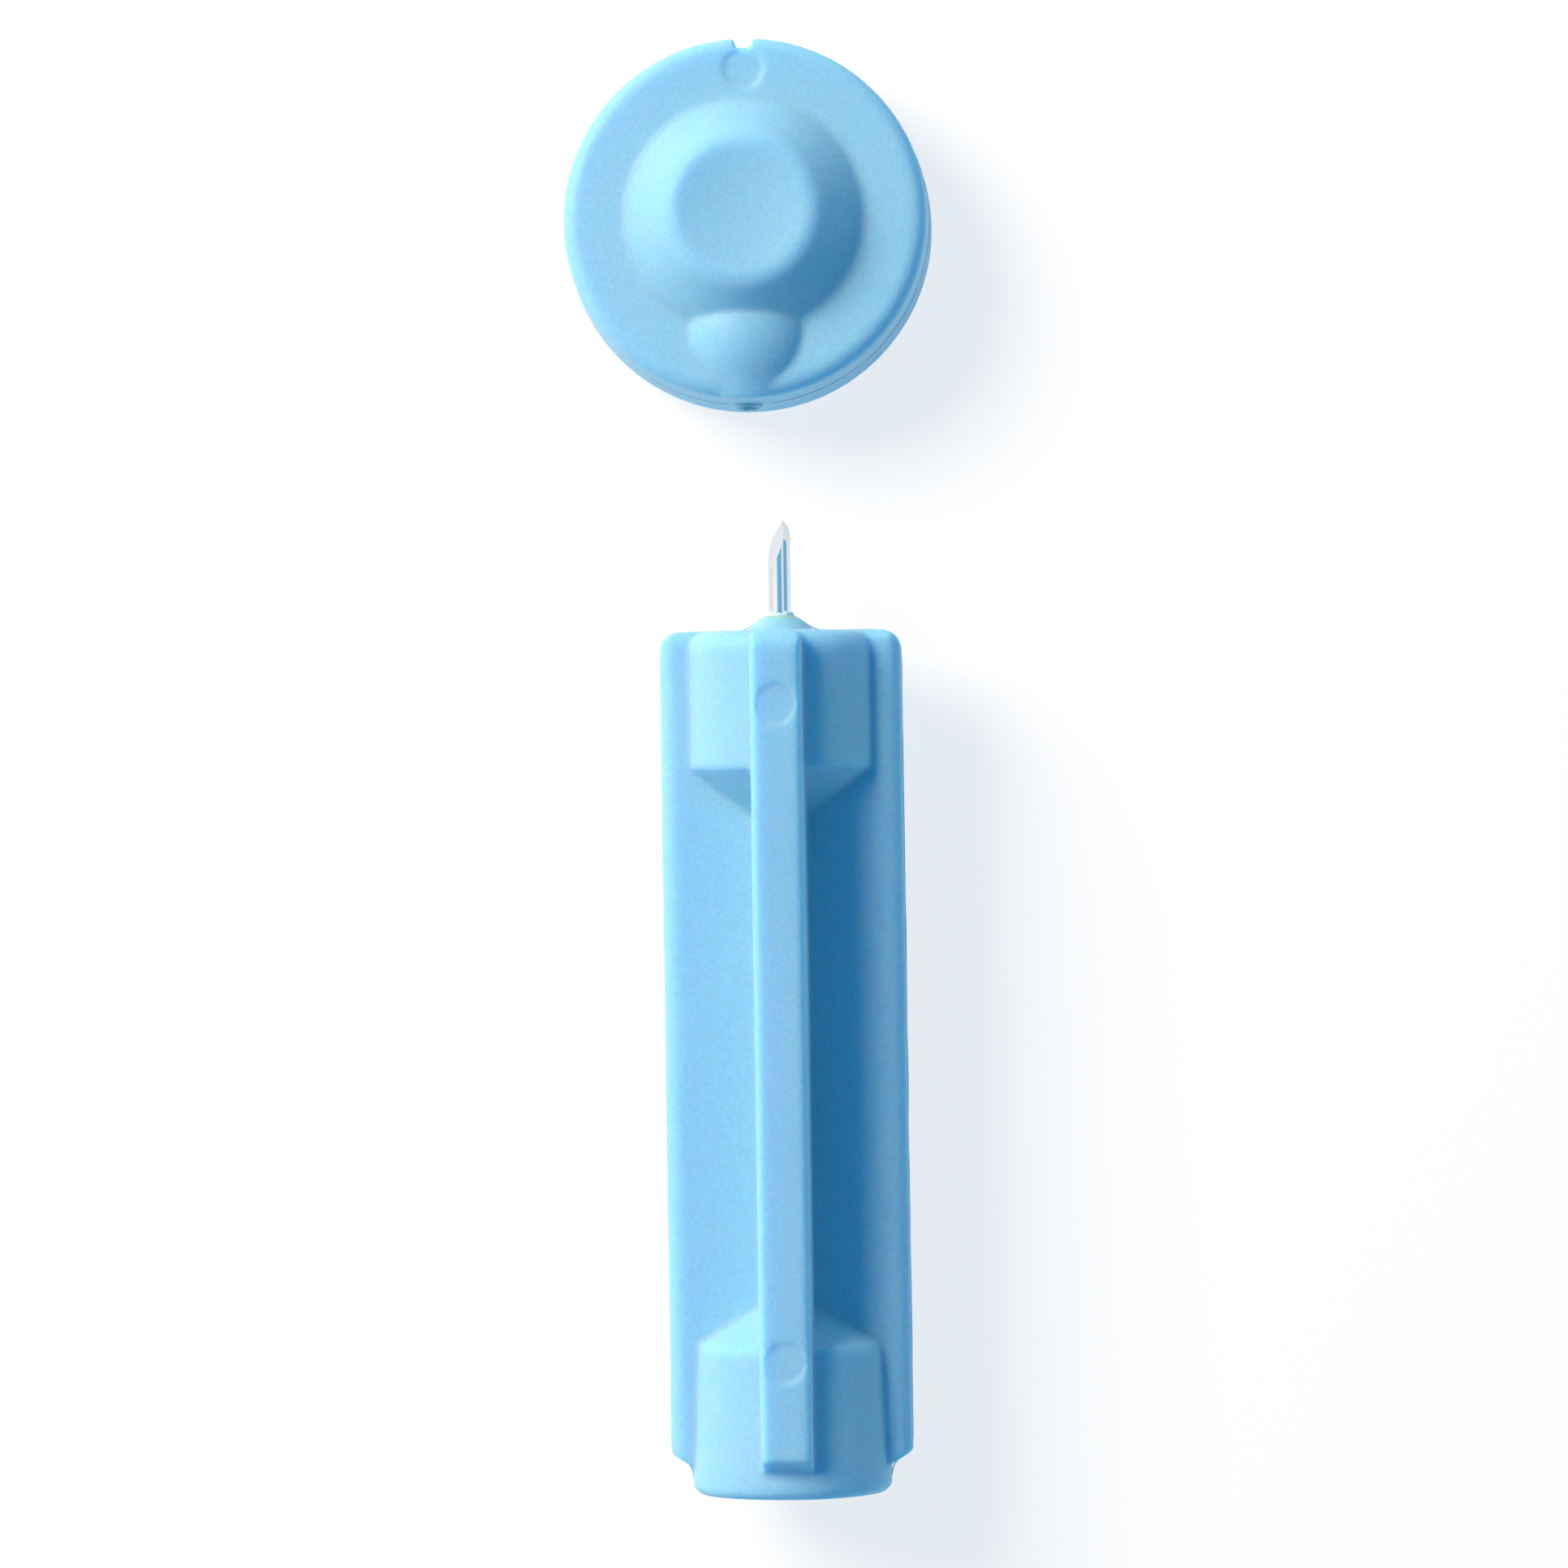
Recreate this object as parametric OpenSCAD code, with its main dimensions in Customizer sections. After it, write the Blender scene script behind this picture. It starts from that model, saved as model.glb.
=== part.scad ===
// Twist-off blood lancet: a finned moulded body on a steel needle, with its round cap
// twisted off and lying ahead of the point. The lancet lies along +Y on the lower of its
// four fins, the needle points at +Y, and the floor is z = 0.

/* [Body] */
// Length of the moulded body, rear face to front face
body_len = 22.8; // [20:0.1:28]
// Distance from the axis to the tip of each fin
fin_reach = 3.2; // [2.9:0.05:3.8]
// Thickness of the fins
fin_t = 1.35; // [1.1:0.05:1.6]
// Rounding of the long edges of the two side fins, which lie in the parting plane
side_fin_edge_r = 0.45; // [0.1:0.05:0.5]
// Rounding of the long edges of the upper and lower fins
upright_fin_edge_r = 0.2; // [0.1:0.05:0.5]
// Rounding of each fin's front corner
fin_corner_r = 0.54; // [0.2:0.02:0.6]
// Rounding of the edges across each fin's front end
fin_front_edge_r = 0.3; // [0.1:0.05:0.5]
// How far each fin's rear end slants forward from the plug to its tip
fin_slant = 0.34; // [0.1:0.02:1]
// Fillet where neighbouring fins meet
root_fillet = 0.2; // [0.1:0.05:0.4]

/* [Collars] */
// Radius of the front collar
front_collar_r = 2.5; // [2.1:0.05:2.7]
// Length of the front collar's cylinder
front_collar_len = 3.6; // [2.5:0.1:6]
// Angle between the front collar's shoulder and the axis
front_shoulder_deg = 50; // [35:1:70]
// Rounding of the front collar's front edge
front_edge_r = 0.5; // [0.1:0.05:0.8]
// Radius of the plug behind the fins
plug_r = 2.63; // [2.2:0.01:2.75]
// Radius of the rear collar at its shoulder, to which it narrows from the plug
rear_collar_r = 2.52; // [2.2:0.02:2.6]
// Length of the rear collar and plug together
rear_collar_len = 3.95; // [3:0.05:6]
// Angle between the rear collar's shoulder and the axis
rear_shoulder_deg = 57; // [35:1:70]
// Rounding between the rear collar and its shoulder
rear_rim_r = 0.3; // [0.05:0.05:0.6]
// How far the plug stands out behind the fins
plug_out = 0.74; // [0.5:0.02:1.6]
// Bevel round the plug's rear face
plug_bevel = 0.18; // [0.05:0.01:0.4]

/* [Neck] */
// Radius of the torn neck's foot on the front face
neck_foot_r = 0.88; // [0.7:0.02:1.2]
// Height of the torn neck above the front face
neck_h = 0.44; // [0.2:0.02:0.7]
// Plastic left round the needle where the neck tore
neck_wall = 0.04; // [0.02:0.01:0.1]

/* [Needle] */
// Diameter of the needle wire
needle_d = 0.6; // [0.45:0.05:0.7]
// Length of needle that stands out of the neck
needle_out = 2.5; // [2:0.02:2.8]
// Length of needle held inside the body
needle_embed = 13; // [8:0.5:16]
// Angle between the long bevel and the axis
bevel_deg = 18; // [15:1:30]
// Angle between the two back cuts and the axis
back_cut_deg = 22; // [16:1:32]
// Turn from the long bevel to each back cut
back_cut_turn = 115; // [100:1:130]
// Offset of the point from the axis, away from the long bevel
point_offset = 0.12; // [0.04:0.01:0.16]

/* [Cap disc] */
// Diameter of the cap at its underside
cap_d = 9.8; // [9:0.1:11]
// Thickness of the cap's disc
cap_t = 2.8; // [2.2:0.1:3.2]
// Draft of the cap's wall, which narrows towards the top
cap_draft_deg = 1.5; // [1:0.5:5]
// Rounding of the cap's upper edge
cap_edge_r = 0.4; // [0.1:0.05:0.8]
// Rounding of the cap's lower edge
cap_foot_r = 0.15; // [0.05:0.05:0.4]
// Width of the notch in the rim
notch_w = 0.46; // [0.3:0.02:0.8]
// Depth of the notch in the rim
notch_depth = 0.28; // [0.1:0.02:0.5]

/* [Cap boss] */
// Diameter of the boss at its foot
boss_foot_d = 6.35; // [5.6:0.05:6.6]
// Diameter of the boss at its top
boss_top_d = 3.95; // [3.2:0.05:4.4]
// Height of the boss above the disc
boss_h = 1.35; // [0.8:0.05:1.6]
// Rounding of the boss's top edge
boss_edge_r = 0.6; // [0.2:0.05:0.8]
// Fillet round the boss's foot
boss_fillet = 0.3; // [0.1:0.05:0.6]
// Depth of the dish in the boss's top
dish_depth = 0.12; // [0.04:0.02:0.3]

/* [Cap sheath] */
// Radius of the bulb that the cap forms round the needle
bulb_r = 2.07; // [1.95:0.01:2.3]
// Distance from the cap's wall back to the bulb's centre
bulb_back = 1.84; // [1.7:0.02:2.3]
// Angle between the bulb's taper and the needle's axis
taper_deg = 31; // [20:1:38]
// Height of the torn neck left on the cap
stub_h = 0.06; // [0.04:0.01:0.14]
// Free depth of the needle's channel beyond the point
channel_spare = 0.1; // [0.05:0.05:0.4]

/* [Moulding marks] */
// Radius of the ejector pins' round marks
mark_r = 0.55; // [0.3:0.05:0.6]
// Depth of the marks
mark_depth = 0.06; // [0.02:0.01:0.12]
// Distance of the front mark from the front face
front_mark = 1.95; // [1.2:0.05:4]
// Distance of the rear mark from the rear face
rear_mark = 3.65; // [2.2:0.05:6]
// Distance of the cap's mark from the edge of its top
cap_mark = 0.86; // [0.8:0.02:1.1]

/* [Layout] */
// Clear length between the needle's point and the cap
tip_gap = 2.96; // [1:0.02:6]
// How far the lancet's axis lies to the right of the cap's centre
lancet_x = 0.8; // [0:0.05:1.2]

/* [Hidden] */
$fn = 64;
// Straight steps in each rounded corner and in the bulb, and spare length for cutters
arc_steps = 6;
bulb_steps = 24;
slack = 1;
plastic = "#94CEE9";
steel = "#C9D3DA";

// Height of the torn neck's shoulder, as a share of its whole height
knee_share = 0.62;

// How far inside the cap's wall its sheath ends
wall_inset = 0.03;

// The collars' shoulders run down to the circle through the fins' inner corners.
crossing_r = fin_t / sqrt(2);
front_shoulder_len = (front_collar_r - crossing_r) / tan(front_shoulder_deg);
rear_shoulder_len = (rear_collar_r - crossing_r) / tan(rear_shoulder_deg);
torn_r = needle_d / 2 + neck_wall;
point_z = body_len + neck_h + needle_out;

// The long bevel faces away from +X and a little up, and its cutters reach past the wire.
bevel_turn = 215;
cutter = needle_out;

// The cap is drawn with the needle's axis at z = 0, half way through its disc.
cap_half = cap_t / 2;
cap_foot_rad = cap_d / 2;
cap_top_rad = cap_foot_rad - cap_t * tan(cap_draft_deg);
cap_wall_rad = (cap_foot_rad + cap_top_rad) / 2;
bulb_y = cap_wall_rad - bulb_back;
taper_start = bulb_r * [cos(taper_deg), sin(taper_deg)];
taper_end_r = taper_start.x - (bulb_back - taper_start.y) * tan(taper_deg);
dish_r = boss_top_d / 2 - boss_edge_r * tan(45 / 2);
dish_sphere_r = (pow(dish_r, 2) + pow(dish_depth, 2)) / (2 * dish_depth);

// Centres of the two rounded edges of the cap's rim, as [radius, height].
upper_edge = [cap_top_rad - cap_edge_r / tan((90 + cap_draft_deg) / 2), cap_half - cap_edge_r];
lower_edge = [cap_foot_rad - cap_foot_r / tan((90 - cap_draft_deg) / 2), cap_foot_r - cap_half];

// The cap lies on its bulb and on the far side of its rim, so it tilts until a floor
// touches both. The near side is lifted.
rest_span = lower_edge + [bulb_y, 0];
rest_tilt = atan2(rest_span.y, rest_span.x) + asin((bulb_r - cap_foot_r) / norm(rest_span));
cap_z = bulb_r - bulb_y * sin(rest_tilt);
near_reach = lower_edge.x * cos(rest_tilt) - lower_edge.y * sin(rest_tilt) + cap_foot_r;
far_reach = max(
    upper_edge.x * cos(rest_tilt) + upper_edge.y * sin(rest_tilt) + cap_edge_r,
    lower_edge.x * cos(rest_tilt) + lower_edge.y * sin(rest_tilt) + cap_foot_r);

// The origin is on the floor, in the middle of the whole layout.
layout_len = point_z + tip_gap + near_reach + far_reach;
rear_y = -layout_len / 2;
cap_y = layout_len / 2 - far_reach;

// Points of a rounded corner at b, between the sides that lead to a and c.
function corner(a, b, c, r) =
    let (u = (a - b) / norm(a - b), v = (c - b) / norm(c - b))
    let (half = acos(u * v) / 2, centre = b + (u + v) / norm(u + v) * r / sin(half))
    let (from = b + u * r / tan(half) - centre, to = b + v * r / tan(half) - centre)
    let (start = atan2(from.y, from.x), turn = atan2(to.y, to.x) - start)
    let (sweep = turn - 360 * round(turn / 360))
    [for (i = [0 : arc_steps]) centre + r * [cos(start + sweep * i / arc_steps),
                                             sin(start + sweep * i / arc_steps)]];

function flat(p) = [p.x, p.y];

// Outline through corners given as [x, y] or, for a rounded one, [x, y, radius].
function rounded(p) = let (n = len(p)) [
    for (i = [0 : n - 1])
        each len(p[i]) < 3 ? [flat(p[i])]
            : corner(flat(p[(i + n - 1) % n]), flat(p[i]), flat(p[(i + 1) % n]), p[i].z)
];

// Sets what is drawn along +Z, with the rear face at z = 0, where the lancet lies.
module lay_lancet() {
    translate([lancet_x, rear_y, fin_reach])
        rotate([-90, 0, 0])
            children();
}

// Two opposite fins in one plate: its face outline, its section and its edge-on outline.
module fin_pair(edge_r) {
    reach = fin_reach;
    tip_z = plug_out + fin_slant;
    intersection() {
        rotate([90, 0, 0])
            linear_extrude(fin_t + slack, center = true)
                polygon(rounded([
                    [-plug_r, plug_out], [plug_r, plug_out], [reach, tip_z],
                    [reach, body_len, fin_corner_r], [-reach, body_len, fin_corner_r],
                    [-reach, tip_z]]));
        linear_extrude(body_len)
            polygon(rounded([
                for (s = [[-1, -1], [1, -1], [1, 1], [-1, 1]])
                    [s.x * reach, s.y * fin_t / 2, edge_r]]));
        rotate([90, 0, 90])
            linear_extrude(2 * reach + slack, center = true)
                polygon(rounded([
                    [-fin_t / 2, 0], [fin_t / 2, 0],
                    [fin_t / 2, body_len, fin_front_edge_r],
                    [-fin_t / 2, body_len, fin_front_edge_r]]));
    }
}

// Fillets in the four grooves between the fins.
module fin_roots() {
    inner = fin_t / 2;
    outer = inner + root_fillet;
    translate([0, 0, rear_collar_len])
        linear_extrude(body_len - rear_collar_len - front_collar_len)
            difference() {
                square(2 * outer, center = true);
                for (x = [-1, 1], y = [-1, 1])
                    translate([x * outer, y * outer])
                        circle(root_fillet);
            }
}

module rear_collar() {
    rotate_extrude()
        polygon(rounded([
            [0, 0], [plug_r - plug_bevel, 0], [plug_r, plug_bevel], [plug_r, plug_out],
            [rear_collar_r, rear_collar_len, rear_rim_r],
            [crossing_r, rear_collar_len + rear_shoulder_len],
            [0, rear_collar_len + rear_shoulder_len]]));
}

module front_collar() {
    rim_z = body_len - front_collar_len;
    rotate_extrude()
        polygon(rounded([
            [0, rim_z - front_shoulder_len], [crossing_r, rim_z - front_shoulder_len],
            [front_collar_r, rim_z], [front_collar_r, body_len, front_edge_r],
            [0, body_len]]));
}

// What the twisted-off neck leaves round the needle.
module torn_neck() {
    knee = (neck_foot_r + torn_r) / 2;
    translate([0, 0, body_len])
        rotate_extrude()
            polygon(rounded([
                [0, -slack], [neck_foot_r, -slack], [neck_foot_r, 0],
                [knee, neck_h * knee_share, neck_h / 2], [torn_r, neck_h], [0, neck_h]]));
}

module lancet_body() {
    color(plastic)
        lay_lancet()
            difference() {
                union() {
                    fin_pair(side_fin_edge_r);
                    rotate([0, 0, 90])
                        fin_pair(upright_fin_edge_r);
                    fin_roots();
                    rear_collar();
                    front_collar();
                    torn_neck();
                }
                translate([0, 0, body_len - needle_embed])
                    cylinder(h = needle_embed + neck_h + slack, d = needle_d);
                for (z = [rear_mark, body_len - front_mark])
                    translate([0, mark_depth - fin_reach, z])
                        rotate([90, 0, 0])
                            cylinder(h = slack, r = mark_r);
            }
}

// Takes away what lies outside a flat grind through the needle's point.
module grind(turn, angle) {
    rotate([0, 0, turn])
        rotate([0, -angle, 0])
            translate([0, -cutter / 2, -cutter])
                cube([cutter, cutter, 2 * cutter]);
}

module needle() {
    color(steel)
        lay_lancet()
            difference() {
                translate([0, 0, body_len - needle_embed])
                    cylinder(h = point_z - body_len + needle_embed, d = needle_d);
                translate([-point_offset * cos(bevel_turn), -point_offset * sin(bevel_turn), point_z]) {
                    grind(bevel_turn, bevel_deg);
                    grind(bevel_turn - back_cut_turn, back_cut_deg);
                    grind(bevel_turn + back_cut_turn, back_cut_deg);
                }
            }
}

// The disc and its boss, turned in one profile.
module cap_disc() {
    rotate_extrude()
        polygon(rounded([
            [0, -cap_half], [cap_foot_rad, -cap_half, cap_foot_r],
            [cap_top_rad, cap_half, cap_edge_r], [boss_foot_d / 2, cap_half, boss_fillet],
            [boss_top_d / 2, cap_half + boss_h, boss_edge_r], [0, cap_half + boss_h]]));
}

// The sheath round the needle: a bulb that tapers towards the neck and ends at the cap's
// round wall, a little inside it.
module cap_sheath() {
    intersection() {
        rotate([90, 0, 0])
            rotate_extrude()
                polygon([
                    for (i = [0 : bulb_steps])
                        let (a = -90 + (90 + taper_deg) * i / bulb_steps)
                        [bulb_r * cos(a), bulb_y + bulb_r * sin(a)],
                    [taper_end_r, cap_wall_rad], [0, cap_wall_rad]]);
        cylinder(h = 3 * bulb_r, r = cap_wall_rad - wall_inset, center = true);
    }
}

// The torn neck that is left on the cap's wall, round the mouth of the needle's channel.
module torn_stub() {
    rotate([90, 0, 0])
        rotate_extrude()
            polygon([
                [0, bulb_y], [torn_r + stub_h, bulb_y], [torn_r + stub_h, cap_wall_rad],
                [torn_r, cap_wall_rad + stub_h], [0, cap_wall_rad + stub_h]]);
}

module twist_cap() {
    mouth = cap_wall_rad + stub_h;
    color(plastic)
        translate([0, cap_y, cap_z])
            rotate([-rest_tilt, 0, 0])
                difference() {
                    union() {
                        cap_disc();
                        cap_sheath();
                        torn_stub();
                    }
                    translate([0, needle_out + channel_spare - mouth, 0])
                        rotate([90, 0, 0])
                            cylinder(h = mouth, d = needle_d);
                    translate([0, 0, cap_half + boss_h - dish_depth + dish_sphere_r])
                        sphere(dish_sphere_r);
                    translate([0, cap_top_rad - cap_mark, cap_half - mark_depth])
                        cylinder(h = slack, r = mark_r);
                    translate([-notch_w / 2, cap_top_rad - notch_depth, -cap_t])
                        cube([notch_w, notch_depth + slack, 2 * cap_t]);
                }
}

lancet_body();
needle();
twist_cap();
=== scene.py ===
# %% [markdown]
# A blood lancet whose cap has been twisted off. Three pieces lie on a white table: a finned
# body moulded in light blue polyethylene, the steel needle that the body was moulded round,
# and the cap that covered the needle until it was twisted off at a thin neck. The whole lot is
# under 39 mm long, so every length here is written in millimetres and turned to metres once.

import math
import random

import bmesh
import bpy
from mathutils import Matrix, Vector, noise
from mathutils.bvhtree import BVHTree


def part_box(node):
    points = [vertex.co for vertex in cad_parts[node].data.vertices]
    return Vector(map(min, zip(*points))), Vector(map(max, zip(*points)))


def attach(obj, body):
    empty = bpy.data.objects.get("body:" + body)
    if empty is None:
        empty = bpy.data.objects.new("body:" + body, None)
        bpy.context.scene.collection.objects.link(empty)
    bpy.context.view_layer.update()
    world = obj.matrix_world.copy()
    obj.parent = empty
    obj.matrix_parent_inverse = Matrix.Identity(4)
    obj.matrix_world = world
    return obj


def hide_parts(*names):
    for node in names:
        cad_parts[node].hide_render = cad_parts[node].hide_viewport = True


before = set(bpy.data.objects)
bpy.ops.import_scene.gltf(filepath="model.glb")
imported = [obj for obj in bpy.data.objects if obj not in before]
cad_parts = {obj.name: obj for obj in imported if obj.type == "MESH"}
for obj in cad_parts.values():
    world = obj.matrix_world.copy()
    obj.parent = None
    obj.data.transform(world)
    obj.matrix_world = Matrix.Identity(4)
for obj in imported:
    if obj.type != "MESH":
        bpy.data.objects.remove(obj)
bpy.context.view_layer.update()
mm = 0.001
print("solids:", sorted(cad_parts))


# %% [markdown]
# Colours are written as hex values, as a colour picker shows them, and Blender's shaders want
# them linear, so one function turns the one into the other. A second function adds a shader
# node with its settings and links, which keeps each material short enough to read. Its inputs
# are named as Blender names them, with _ for a space, or by their place, as in _0. A third
# function starts a material with no nodes in it.


# %% Colour and node helpers
def linear(code):
    channels = [int(code[i : i + 2], 16) / 255 for i in (1, 3, 5)]
    return [c / 12.92 if c <= 0.04045 else ((c + 0.055) / 1.055) ** 2.4 for c in channels] + [1]


def add_node(material, kind, settings=None, **inputs):
    made = material.node_tree.nodes.new("ShaderNode" + kind)
    for name, value in (settings or {}).items():
        setattr(made, name, value)
    for name, value in inputs.items():
        socket = made.inputs[int(name[1:]) if name[0] == "_" else name.replace("_", " ")]
        if isinstance(value, bpy.types.NodeSocket):
            material.node_tree.links.new(value, socket)
        else:
            socket.default_value = value
    return made


def new_material(name):
    material = bpy.data.materials.new(name)
    material.use_nodes = True
    material.node_tree.nodes.clear()
    return material


print("half grey is", round(linear("#808080")[0], 3), "in linear light")

# %% [markdown]
# The photograph looks almost straight down. The near faces of the fins are hardly larger than
# the far ones, so the camera stood well away, and the upper fin's flat edge sits a little left
# of the body's axis, so it looked in from the right by about three degrees. A long lens and
# that small lean are set here, and a turn of less than a degree lets the body lean as it does.

# %% Camera
camera_mm = (10.967, -0.211, 200)
camera_turn_deg = (-0.143, 2.945, -0.859)
sensor_mm = 36
pixels_wide = 1932
focal_pixels = 9165.8
camera = bpy.data.objects.new("camera", bpy.data.cameras.new("camera"))
bpy.context.collection.objects.link(camera)
camera.location = [c * mm for c in camera_mm]
camera.rotation_euler = [math.radians(a) for a in camera_turn_deg]
camera.data.sensor_width = sensor_mm
camera.data.lens = sensor_mm * focal_pixels / pixels_wide
camera.data.clip_start = 0.01
bpy.context.scene.camera = camera
bpy.context.scene.view_settings.view_transform = "Standard"
print("lens", round(camera.data.lens, 1), "mm, from", round(camera.location.z / mm), "mm up")

# %% [markdown]
# The table is a sheet of white paper. A white background could come from more light, but that
# would bleach the lancet too. Instead only what the camera, a mirror or clear glass sees of the
# paper is lifted to white, and the lamp still draws the lancet's soft shadow on it. All other
# rays meet matt white paper with a faint glow, as from a pale room round it, so that the walls
# near the table get the light that a real sheet throws back up.


# %% White paper
def seen_directly(material):
    rays = add_node(material, "LightPath").outputs
    seen = rays["Is Camera Ray"]
    for kind in ("Is Glossy Ray", "Is Transmission Ray"):
        either = add_node(material, "Math", {"operation": "MAXIMUM"}, _0=seen, _1=rays[kind])
        seen = either.outputs[0]
    return seen


# Fibres in paper are 0.02 mm thick. They are drawn as clumps of 0.4 mm, so that they show.
paper = new_material("white_paper")
grain = add_node(
    paper, "TexNoise", Vector=add_node(paper, "TexCoord").outputs["Object"], Scale=1 / (0.4 * mm)
)
fibres = add_node(paper, "Bump", Strength=0.1, Distance=0.02 * mm, Height=grain.outputs[0])
matt = add_node(paper, "BsdfDiffuse", Color=linear("#F4F4F4"), Normal=fibres.outputs[0])
glow = add_node(paper, "Emission", Color=[1, 1, 1, 1], Strength=0.3)
plain = add_node(paper, "AddShader", _0=matt.outputs[0], _1=glow.outputs[0])
shaded = add_node(paper, "BsdfDiffuse", Color=[0.25, 0.25, 0.25, 1], Normal=fibres.outputs[0])
lift = add_node(paper, "Emission", Color=[1, 1, 1, 1], Strength=0.76)
lifted = add_node(paper, "AddShader", _0=shaded.outputs[0], _1=lift.outputs[0])
choice = add_node(
    paper, "MixShader", _0=seen_directly(paper), _1=plain.outputs[0], _2=lifted.outputs[0]
)
add_node(paper, "OutputMaterial", Surface=choice.outputs[0])

bpy.ops.mesh.primitive_plane_add(size=3)
table = bpy.context.object
table.name = "table"
table.data.materials.append(paper)
print("table", tuple(round(side, 1) for side in table.dimensions[:2]), "m")

# %% [markdown]
# One large soft lamp stands at the upper left, as the pale left edges and the deep blue right
# sides of the fins and the boss show. It is a warm lamp and the rest of the room is a cool fill,
# and their strengths are set so that the two together are about neutral on a face that looks
# straight up. A colour then renders there about as it is written, while the lit slopes come out
# paler and the shade bluer, as in the photograph.

# %% Studio light
lamp_way = Vector((-0.87, 0.66, 0.95)).normalized()
lamp_far = 0.4
lamp = bpy.data.objects.new("soft_lamp", bpy.data.lights.new("soft_lamp", "AREA"))
bpy.context.collection.objects.link(lamp)
lamp.data.shape = "DISK"
lamp.data.size = 0.22
lamp.data.energy = 2.5
lamp.data.color = (1, 0.79, 0.67)
lamp.location = lamp_way * lamp_far
lamp.rotation_euler = lamp_way.to_track_quat("Z", "Y").to_euler()

room = bpy.data.worlds.new("room")
bpy.context.scene.world = room
room.use_nodes = True
room.node_tree.nodes.clear()
fill = add_node(room, "Background", Color=linear("#5CCFFF"), Strength=0.42)
white = add_node(room, "Background", Color=[1, 1, 1, 1], Strength=1)
choice = add_node(
    room, "MixShader", _0=seen_directly(room), _1=fill.outputs[0], _2=white.outputs[0]
)
add_node(room, "OutputWorld", Surface=choice.outputs[0])
print("lamp", lamp.data.energy, "W, room", round(fill.inputs["Strength"].default_value, 2))

# %% [markdown]
# Polished steel shows only what stands round it, and in a white room it would look like paper.
# A photographer puts darker cards where the metal needs lines. One card hangs over the needle,
# round the lens, and one stands to the right, each with its own size and steepness. Only
# mirror-like rays see them, so they take no light away from the plastic.

# %% Cards for the steel
card_grey = new_material("blue_grey_card")
add_node(
    card_grey,
    "OutputMaterial",
    Surface=add_node(card_grey, "Emission", Color=linear("#76BCE6"), Strength=1).outputs[0],
)


def card(name, steepness_deg, width_deg, distance, depth):
    bpy.ops.mesh.primitive_plane_add(size=1)
    sheet = bpy.context.object
    sheet.name = name
    lean = math.radians(steepness_deg)
    width = 2 * distance * math.tan(math.radians(width_deg / 2))
    sheet.location = Vector((math.sin(lean), 0, math.cos(lean))) * distance
    sheet.rotation_euler = (0, lean, 0)
    sheet.scale = (width, depth, 1)
    sheet.data.materials.append(card_grey)
    for kind in ("camera", "diffuse", "transmission", "volume_scatter", "shadow"):
        setattr(sheet, "visible_" + kind, False)
    print(name, round(width, 3), "by", depth, "m")


for name, steepness_deg, width_deg in (("card_over_needle", 4, 44), ("card_on_the_right", 64, 34)):
    card(name, steepness_deg, width_deg, distance=0.3, depth=0.5)

# %% [markdown]
# The plastic is low-density polyethylene (LDPE), the waxy, slightly see-through plastic of
# squeeze bottles. It scatters light inside it: red light stops after a fraction of a
# millimetre and blue light travels on, which is why its shaded grooves turn a deep, clean blue
# rather than grey. Its tool is spark eroded, which leaves it satin. Where it was bent and torn
# its long molecules part and it turns whitish, so the material pales towards the torn neck.
# A bead or lip that is thinner than the light's path has no inside to scatter light in and would
# turn grey, so inner_light is 0 there and the same plastic is drawn as solid.


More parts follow.
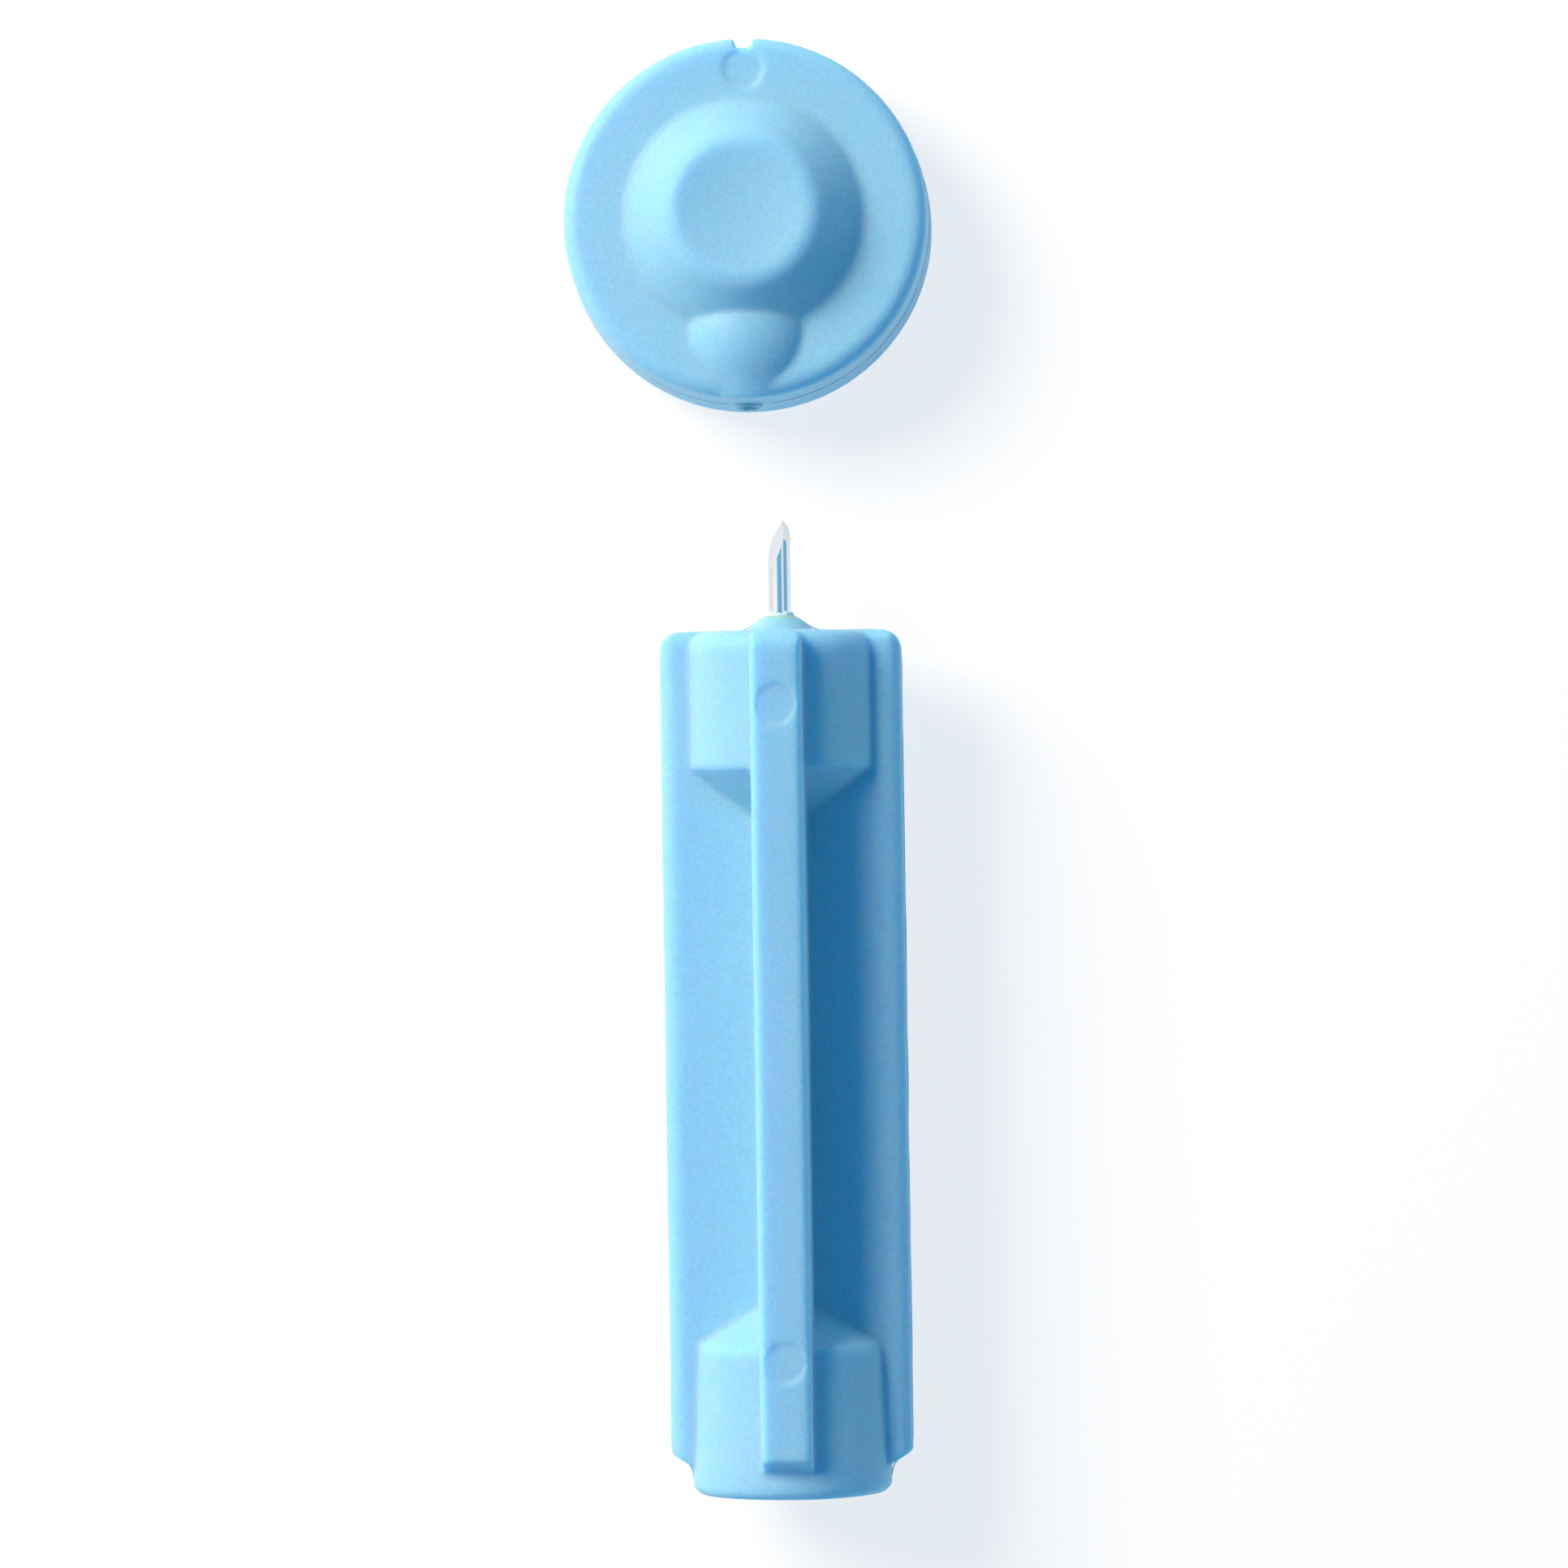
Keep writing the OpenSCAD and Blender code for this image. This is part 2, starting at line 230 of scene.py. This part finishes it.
# %% Moulded polyethylene
def moulded_polyethylene(name, torn_at, torn_reach, inner_light=1):
    material = new_material(name)
    place = add_node(material, "TexCoord").outputs["Object"]
    # The flat faces in the photograph show #94CEE8. Pigment is never stirred in quite evenly, so
    # the colour drifts a little to either side of it, over about 5 mm.
    cloud = add_node(material, "TexNoise", Vector=place, Scale=1 / (5 * mm), Detail=2)
    drift = add_node(
        material, "MapRange", Value=cloud.outputs[0], From_Min=0.3, From_Max=0.7
    ).outputs[0]
    darker, paler = linear("#92CDE7"), linear("#97CFE9")
    tint = add_node(material, "Mix", {"data_type": "RGBA"}, _0=drift, _6=darker, _7=paler)
    # A spark-eroded tool has pits of 0.05 mm. They are drawn at 0.1 mm, so that they show.
    pits = add_node(material, "TexNoise", Vector=place, Scale=1 / (0.1 * mm), Detail=2)
    # Painted shade in the pits: the colour is made up to a tenth darker where the pits lie lowest.
    painted_pit_shade = add_node(
        material,
        "MapRange",
        Value=pits.outputs[0],
        From_Min=0.3,
        From_Max=0.7,
        To_Min=0.9,
        To_Max=1.0,
    ).outputs[0]
    multiply = {"data_type": "RGBA", "blend_type": "MULTIPLY"}
    tint_with_pit_shade = add_node(material, "Mix", multiply, _0=1.0, _6=tint.outputs[2], _7=painted_pit_shade)
    # The whitening fades out with the distance from the torn neck.
    near = add_node(
        material, "VectorMath", {"operation": "DISTANCE"}, _0=place, _1=[c * mm for c in torn_at]
    ).outputs["Value"]
    torn = add_node(
        material,
        "MapRange",
        Value=near,
        From_Min=0.2 * torn_reach * mm,
        From_Max=torn_reach * mm,
        To_Min=0.75,
        To_Max=0.0,
    ).outputs[0]
    whitened = linear("#CDE9F5")
    colour = add_node(
        material, "Mix", {"data_type": "RGBA"}, _0=torn, _6=tint_with_pit_shade.outputs[2], _7=whitened
    )
    satin = add_node(
        material,
        "MapRange",
        Value=pits.outputs[0],
        From_Min=0.3,
        From_Max=0.7,
        To_Min=0.42,
        To_Max=0.58,
    )
    bumps = add_node(material, "Bump", Strength=0.5, Distance=0.01 * mm, Height=pits.outputs[0])
    shader = add_node(
        material,
        "BsdfPrincipled",
        Base_Color=colour.outputs[2],
        Roughness=satin.outputs[0],
        IOR=1.51,
        Specular_IOR_Level=0.2,
        Subsurface_Weight=inner_light,
        Subsurface_Radius=(0.02, 0.5, 1),
        Subsurface_Scale=1 * mm,
        Normal=bumps.outputs[0],
    )
    add_node(material, "OutputMaterial", Surface=shader.outputs[0])
    print(name, "whitened within", torn_reach, "mm of the tear")
    return material


# %% [markdown]
# The needle lies on the body's axis, and the neck tore round it. The cap lies tilted, on its
# bulb and on the far side of its rim, so a matrix takes points from the cap's own axes to the
# table: first it tips by the rest angle, then it moves to where the cap lies.

# %% Where the neck tore
needle_box = [[c / mm for c in corner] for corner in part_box("needle")]
body_box = [[c / mm for c in corner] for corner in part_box("lancet_body")]
axis_x = (needle_box[0][0] + needle_box[1][0]) / 2
axis_z = (needle_box[0][2] + needle_box[1][2]) / 2
wire_r = (needle_box[1][0] - needle_box[0][0]) / 2
neck_top = Vector((axis_x, body_box[1][1], axis_z))
# The cap's tilt and place follow from its sizes and where it lies. The stub's end is 4.923 mm
# from the disc's axis.
cap_tilt = 4.982
cap_y, cap_z = 14.3898, 1.8074
stub_reach = 4.923
cap_tips = Matrix.Rotation(-math.radians(cap_tilt), 4, "X")
cap_lies = Matrix.Translation((0, cap_y, cap_z)) @ cap_tips
stub_top = cap_lies @ Vector((0, -stub_reach, 0))
print("neck tore at", [round(c, 2) for c in neck_top], "and", [round(c, 2) for c in stub_top])

body_plastic = moulded_polyethylene("moulded_LDPE_body", neck_top, torn_reach=0.55)
cap_plastic = moulded_polyethylene("moulded_LDPE_cap", stub_top, torn_reach=0.5)


# %% [markdown]
# Plastic never quite fills the sharp corners of its mould, so no edge of a moulding is perfectly
# sharp. A modeller could bevel every edge, but fifty edges that run into cones and cylinders are
# quicker to soften together: the solid is rebuilt as an even net of small squares, each point is
# put back on the true surface, and a few rounds of smoothing then round off only what is sharp.
# Plastic also shrinks unevenly as it cools, so each point moves in or out by less than a
# hundredth of a millimetre, in waves a few millimetres long.


# %% Softened mouldings
def net_in_mm(mesh):
    net = bmesh.new()
    net.from_mesh(mesh)
    net.transform(Matrix.Scale(1 / mm, 4))
    return net


def modifiers_applied(piece):
    ready = piece.evaluated_get(bpy.context.evaluated_depsgraph_get())
    mesh = bpy.data.meshes.new_from_object(ready)
    piece.modifiers.clear()
    piece.data = mesh
    return mesh


def soft_moulding(node, name, plastic, square_mm, rounds, wave_high=0.008, wave_long=2.5):
    net = net_in_mm(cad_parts[node].data)
    bmesh.ops.remove_doubles(net, verts=net.verts, dist=1e-5)
    surface = BVHTree.FromBMesh(net)
    mesh = bpy.data.meshes.new(name)
    net.to_mesh(mesh)
    net.free()
    piece = bpy.data.objects.new(name, mesh)
    bpy.context.collection.objects.link(piece)
    squares = piece.modifiers.new("squares", "REMESH")
    squares.mode = "VOXEL"
    squares.voxel_size = square_mm
    for point in modifiers_applied(piece).vertices:
        point.co = surface.find_nearest(point.co)[0]
    smooth = piece.modifiers.new("smooth", "SMOOTH")
    smooth.factor = 0.5
    smooth.iterations = rounds
    soft = modifiers_applied(piece)
    outward = [point.normal.copy() for point in soft.vertices]
    for point, way in zip(soft.vertices, outward):
        point.co += way * wave_high * noise.noise(point.co / wave_long)
    soft.transform(Matrix.Scale(mm, 4))
    soft.shade_smooth()
    soft.name = name
    soft.materials.clear()
    soft.materials.append(plastic)
    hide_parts(node)
    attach(piece, "root")
    print(name, "has", len(soft.polygons), "squares")
    return piece


body = soft_moulding("lancet_body", "body_moulding", body_plastic, square_mm=0.085, rounds=6)
cap = soft_moulding("twist_cap", "cap_moulding", cap_plastic, square_mm=0.07, rounds=7)


# %% [markdown]
# The two halves of the mould meet in a plane through the needle. However well they fit, a
# little plastic creeps between them and leaves a hair-fine raised line, the parting line. It
# could be a bump in the material, but as a thin bead of real mesh it also catches the light
# from the side. A copy of the moulding is cut by the mould's plane, the cut's edge is followed
# round, evened out, and a six-sided bead is drawn along it. Inside the bore and the channel,
# where the needle or its pin stood, no bead is drawn.


# %% Parting lines
def walk(net, edges):
    left = set(edges)
    loops = []
    while left:
        edge = min(left, key=lambda e: e.index)
        left.remove(edge)
        chain = [edge.verts[0], edge.verts[1]]
        while True:
            onward = [e for e in chain[-1].link_edges if e in left]
            if not onward:
                break
            left.remove(onward[0])
            chain.append(onward[0].other_vert(chain[-1]))
        loops.append([v.co.copy() for v in chain])
    return loops


def spaced(points, step):
    out = [points[0]]
    for point in points[1:]:
        if (point - out[-1]).length >= step:
            out.append(point)
    return out


def piece_from(net, name, *materials):
    net.transform(Matrix.Scale(mm, 4))
    mesh = bpy.data.meshes.new(name)
    net.to_mesh(mesh)
    net.free()
    for material in materials:
        mesh.materials.append(material)
    piece = bpy.data.objects.new(name, mesh)
    bpy.context.collection.objects.link(piece)
    return piece


bead_r, bead_sides, bead_step = 0.022, 6, 0.12


def parting_bead(moulding, name, through, upward, plastic, shows):
    net = net_in_mm(moulding.data)
    parts = net.verts[:] + net.edges[:] + net.faces[:]
    cut = bmesh.ops.bisect_plane(net, geom=parts, plane_co=through, plane_no=upward)
    net.edges.index_update()
    edges = [e for e in cut["geom_cut"] if isinstance(e, bmesh.types.BMEdge)]
    loops = [spaced(loop, bead_step) for loop in walk(net, edges)]
    net.free()
    bead = bmesh.new()
    drawn = 0.0
    for loop in loops:
        for _ in range(3):
            after = loop[1:] + loop[:1]
            loop = [(loop[i - 1] + point * 2 + after[i]) / 4 for i, point in enumerate(loop)]
        rings = []
        for i, point in enumerate(loop):
            along = (loop[(i + 1) % len(loop)] - loop[i - 1]).normalized()
            outward = along.cross(upward).normalized()
            thick = bead_r * (0.75 + 0.5 * noise.noise(point * 0.9))
            ring = []
            for side in range(bead_sides):
                turn = math.tau * side / bead_sides
                offset = outward * math.cos(turn) + upward * math.sin(turn)
                ring.append(bead.verts.new(point + offset * thick))
            rings.append(ring if shows(point) else None)
        for one, two in zip(rings, rings[1:] + rings[:1]):
            if one is None or two is None:
                continue
            drawn += (one[0].co - two[0].co).length
            for side in range(bead_sides):
                bead.faces.new((one[side - 1], one[side], two[side], two[side - 1]))
    loose = [v for v in bead.verts if not v.link_faces]
    bmesh.ops.delete(bead, geom=loose, context="VERTS")
    ends = [e for e in bead.edges if e.is_boundary]
    bmesh.ops.holes_fill(bead, edges=ends, sides=bead_sides)
    bmesh.ops.recalc_face_normals(bead, faces=bead.faces)
    piece = piece_from(bead, name, plastic)
    piece.data.shade_smooth()
    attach(piece, "root")
    print(name, "is", round(drawn, 1), "mm long")


def clear_of_body_bore(point, margin=0.12, rear_zone=0.5):
    if point.y < body_box[0][1] + rear_zone:
        return True
    return math.hypot(point.x - axis_x, point.z - axis_z) > wire_r + margin


def clear_of_cap_channel(point, margin=0.2, channel_end=-2.2):
    own = cap_lies.inverted() @ point
    return math.hypot(own.x, own.z) > wire_r + margin or own.y > channel_end


thin_plastic = moulded_polyethylene("thin_LDPE", neck_top, torn_reach=0.55, inner_light=0)
up = Vector((0, 0, 1))
cap_up = (cap_lies.to_3x3() @ up).normalized()
parting_bead(body, "body_parting_line", neck_top, up, thin_plastic, clear_of_body_bore)
parting_bead(cap, "cap_parting_line", stub_top, cap_up, thin_plastic, clear_of_cap_channel)

# %% [markdown]
# Where the neck broke, the plastic tore instead of snapping, and it left a thin ragged lip
# round the needle and round the mouth of the cap's channel. It could be sculpted, but a rule
# makes both lips alike in kind: each is a ring of five circles whose upper ones rise and fall
# with seeded noise, so it tears the same way in each run, and whose foot is sunk in the neck.

# %% Torn lips
torn_neck = moulded_polyethylene("torn_LDPE_neck", neck_top, torn_reach=4.0, inner_light=0)
torn_cap = moulded_polyethylene("torn_LDPE_cap", stub_top, torn_reach=4.0, inner_light=0)


def torn_lip(name, plastic, place, wall, rise, seed, around=120, sunk=0.12, slack=0.004):
    inner, outer = wire_r + slack, wire_r + wall
    random.seed(seed)
    shift = Vector([random.uniform(0, 90) for _ in range(3)])
    lip = bmesh.new()
    circles = [[] for _ in range(5)]
    highest = 0.0
    for i in range(around):
        turn = math.tau * i / around
        spoke = Vector((math.cos(turn), 0, math.sin(turn)))
        coarse = noise.noise(spoke * 1.7 + shift)
        fine = noise.noise(spoke * 6 + shift)
        height = rise * max(0.55 + 0.7 * coarse + 0.5 * fine, 0.12)
        highest = max(highest, height)
        curl = 0.03 * noise.noise(spoke * 3 - shift)
        # From the foot outside, up over the ragged edge, to the foot inside.
        radii = [outer + 0.03, outer + 0.02 + curl / 2, outer + curl, inner + 0.02 + curl, inner]
        heights = [-sunk, height * 0.35, height, height * 0.9, -sunk]
        for circle, radius, high in zip(circles, radii, heights):
            circle.append(lip.verts.new(place @ (spoke * radius + Vector((0, high, 0)))))
    for one, two in zip(circles, circles[1:] + circles[:1]):
        for i in range(around):
            lip.faces.new((one[i - 1], one[i], two[i], two[i - 1]))
    bmesh.ops.recalc_face_normals(lip, faces=lip.faces)
    piece = piece_from(lip, name, plastic)
    piece.data.shade_smooth()
    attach(piece, "root")
    print(name, "rises to", round(highest, 3), "mm")


at_neck = Matrix.Translation(neck_top)
facing_needle = Matrix.Rotation(math.pi - math.radians(cap_tilt), 4, "X")
at_cap = Matrix.Translation(stub_top) @ facing_needle
torn_lip("torn_lip_of_neck", torn_neck, at_neck, wall=0.04, rise=0.08, seed=3)
torn_lip("torn_lip_of_cap", torn_cap, at_cap, wall=0.05, rise=0.05, seed=8)

# %% [markdown]
# The needle is stainless steel wire, drawn through a die, ground to a point in three flats and
# polished. Drawing leaves hair-fine lines along it, which show as bright and dark streaks, and
# the grinding wheel leaves finer lines across the flats. Their dark streaks are also painted
# into the steel's colour, as painted shade in the grooves of the lines. The real lines lie a few
# thousandths of a millimetre apart. The die's are drawn 0.03 mm apart and the wheel's 0.02 mm,
# so that they show.


# %% Needle steel
def polished_steel(name, colour, along, line_mm, roughness, streak_mm=4, depth_mm=0.0006):
    material = new_material(name)
    place = add_node(material, "TexCoord").outputs["Object"]
    squeeze = [1 / (line_mm * mm)] * 3
    squeeze[along] = 1 / (streak_mm * mm)
    lined = add_node(
        material, "VectorMath", {"operation": "MULTIPLY"}, _0=place, _1=squeeze
    ).outputs[0]
    lines = add_node(material, "TexNoise", Vector=lined, Scale=1, Detail=2)
    depth = depth_mm * mm
    bumps = add_node(material, "Bump", Strength=0.5, Distance=depth, Height=lines.outputs[0])
    dull = add_node(
        material,
        "MapRange",
        Value=lines.outputs[0],
        From_Min=0.3,
        From_Max=0.7,
        To_Min=roughness * 0.7,
        To_Max=roughness * 1.4,
    )
    # Painted shade: the steel's colour is made 14% darker in the grooves of its lines, which
    # paints their dark streaks; the lines themselves are the bump and the roughness.
    tint = add_node(
        material,
        "Mix",
        {"data_type": "RGBA"},
        _0=lines.outputs[0],
        _6=[c * 0.86 for c in linear(colour)[:3]] + [1],
        _7=linear(colour),
    )
    shader = add_node(
        material,
        "BsdfPrincipled",
        Base_Color=tint.outputs[2],
        Metallic=1,
        Roughness=dull.outputs[0],
        Normal=bumps.outputs[0],
    )
    add_node(material, "OutputMaterial", Surface=shader.outputs[0])
    return material


drawn_steel = polished_steel(
    "drawn_stainless_steel", "#E2EAEE", along=1, line_mm=0.03, roughness=0.16
)
ground_steel = polished_steel(
    "ground_stainless_steel", "#E6ECEF", along=2, line_mm=0.02, roughness=0.22
)
print("steels:", drawn_steel.name, ground_steel.name)


# %% [markdown]
# The wire is a cylinder of 96 sides, made a little too long, whose end is cut off by three planes
# through its point: the long bevel first, then two back cuts that give it its lancet edges. Each
# cut is closed with a flat face of its own, and those faces take the ground finish and stay sharp.

# %% Needle
bevel_deg, bevel_turn = 18, 215
back_cut_deg, back_cut_turn = 22, 115
point_offset = 0.12
wire_sides = 96
point = Vector((axis_x, needle_box[1][1], axis_z))
wire_len = needle_box[1][1] - needle_box[0][1]
spare = 1


def across(turn_deg):
    turn = math.radians(turn_deg)
    return Vector((math.cos(turn), 0, -math.sin(turn)))


wire = bmesh.new()
bmesh.ops.create_cone(
    wire,
    cap_ends=True,
    segments=wire_sides,
    radius1=wire_r,
    radius2=wire_r,
    depth=wire_len + spare,
)
lie_down = Matrix.Rotation(-math.pi / 2, 4, "X")
middle = point - Vector((0, (wire_len - spare) / 2, 0))
wire.transform(Matrix.Translation(middle) @ lie_down)
for side in wire.faces:
    side.smooth = len(side.verts) == 4
through = point - across(bevel_turn) * point_offset
for turn, lean in (
    (bevel_turn, bevel_deg),
    (bevel_turn - back_cut_turn, back_cut_deg),
    (bevel_turn + back_cut_turn, back_cut_deg),
):
    lean = math.radians(lean)
    outward = across(turn) * math.cos(lean) + Vector((0, math.sin(lean), 0))
    bmesh.ops.bisect_plane(
        wire,
        geom=wire.verts[:] + wire.edges[:] + wire.faces[:],
        plane_co=through,
        plane_no=outward,
        clear_outer=True,
    )
    rim = [e for e in wire.edges if e.is_boundary]
    flat = bmesh.ops.contextual_create(wire, geom=rim)["faces"]
    for facet in flat:
        facet.material_index = 1
        facet.smooth = False
for edge in wire.edges:
    edge.smooth = all(side.material_index == 0 for side in edge.link_faces)
bmesh.ops.recalc_face_normals(wire, faces=wire.faces)
needle = piece_from(wire, "needle_wire", drawn_steel, ground_steel)
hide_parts("needle")
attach(needle, "root")
print("needle", [round(side / mm, 2) for side in needle.dimensions], "mm")
